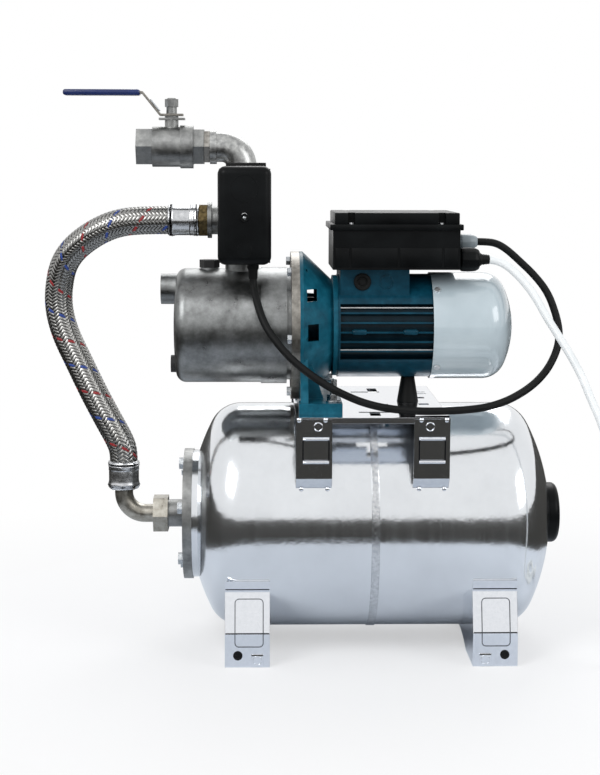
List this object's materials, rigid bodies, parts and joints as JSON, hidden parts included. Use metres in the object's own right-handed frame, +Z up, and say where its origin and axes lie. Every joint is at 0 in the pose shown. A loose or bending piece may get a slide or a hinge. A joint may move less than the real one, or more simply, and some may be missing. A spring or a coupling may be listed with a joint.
{
  "type": "booster pump set",
  "caption": "Self-priming jet pump with teal motor on a horizontal polished steel pressure tank, with braided hose, ball valve, pressure switch and mains lead.",
  "frame": {"origin": "on the floor, midway between the floor screw holes of the feet, straight below the tank's axis", "axes": "+X along the tank and pump axes towards the fan end, -Y towards the side with the pressure switch, +Z up"},
  "size_m": [0.8073, 0.3218, 0.6679],
  "materials": {
    "polished_stainless": "mirror polished",
    "satin_stainless": "satin, slightly mottled",
    "cast_stainless": "matt, investment cast",
    "zinc_steel": "zinc plated",
    "bright_steel": "ground",
    "brass": "dull, darkened",
    "teal_paint": "petrol-blue paint, semi-gloss",
    "grey_paint": "light grey, glossy",
    "motor_iron": "bare sheet stack",
    "black_plastic": "black, lightly glossy",
    "works_plastic": "glass-filled",
    "grey_plastic": "smooth",
    "white_plastic": "smooth white",
    "white_lead": "smooth white flexible sheath",
    "black_rubber": "matt",
    "blue_vinyl": "glossy dipped sleeve",
    "ferrule_aluminium": "bright, crimped",
    "braided_hose": "stainless wire braid with red and blue tracers over rubber"
  },
  "bodies": {
    "base": {"tank_shell_water_side": "polished_stainless", "tank_shell_air_side": "polished_stainless", "foot_left": "polished_stainless", "foot_right": "polished_stainless", "pump_plate": "polished_stainless", "pump_casing": "satin_stainless", "casing_plugs": "satin_stainless", "seal_plate": "satin_stainless", "five_way_fitting": "cast_stainless", "elbow": "cast_stainless", "valve_body": "cast_stainless", "union_elbow": "cast_stainless", "tank_flange": "cast_stainless", "flange_bolts": "zinc_steel", "casing_bolts": "zinc_steel", "foot_bolts": "zinc_steel", "cover_screws": "zinc_steel", "tie_rods": "zinc_steel", "casing_flange_ring": "zinc_steel", "bearings": "bright_steel", "pipe_nipples": "brass", "union_nut": "brass", "port_plug": "brass", "air_valve": "brass", "motor_bracket": "teal_paint", "motor_body": "teal_paint", "rear_end_shield": "teal_paint", "fan_cover": "grey_paint", "stator": "motor_iron", "terminal_box_base": "black_plastic", "terminal_box_lid": "black_plastic", "switch_base": "black_plastic", "switch_cover": "black_plastic", "cable_gland_black": "black_plastic", "capacitor": "black_plastic", "terminal_block": "black_plastic", "switch_spring_set": "black_plastic", "ejector": "works_plastic", "diffuser": "works_plastic", "cable_gland_grey": "grey_plastic", "valve_seats": "white_plastic", "mains_lead": "white_lead", "mains_coil": "white_lead", "mains_plug": "white_lead", "rear_rubber_foot": "black_rubber", "pump_seals": "black_rubber", "switch_cable": "black_rubber", "tank_bladder": "black_rubber", "hose_ferrules": "ferrule_aluminium", "hose": "braided_hose"},
    "rotor": {"motor_shaft": "bright_steel", "rotor_core": "motor_iron", "impeller": "works_plastic", "cooling_fan": "works_plastic"},
    "lever": {"valve_lever": "zinc_steel", "lever_sleeve": "blue_vinyl", "valve_stem": "cast_stainless", "valve_ball": "bright_steel"},
    "lock_plate": {"lever_lock": "zinc_steel"},
    "air_cap": {"air_valve_cap": "black_plastic"}
  },
  "joints": [
    {"name": "valve_turn", "type": "hinge", "parent": "base", "child": "lever", "pos_m": [-0.235, 0, 0.6], "axis": [0, 0, 1], "range_deg": [0, 90]},
    {"name": "lock_slide", "type": "slide", "parent": "lever", "child": "lock_plate", "axis": [-0.6265, 0, 0.7794], "range_m": [0, 0.008]},
    {"name": "rotor_spin", "type": "hinge", "parent": "base", "child": "rotor", "pos_m": [0, 0, 0.385], "axis": [1, 0, 0], "continuous": true},
    {"name": "cap_pull", "type": "slide", "parent": "base", "child": "air_cap", "axis": [1, 0, 0], "range_m": [0, 0.03]}
  ]
}
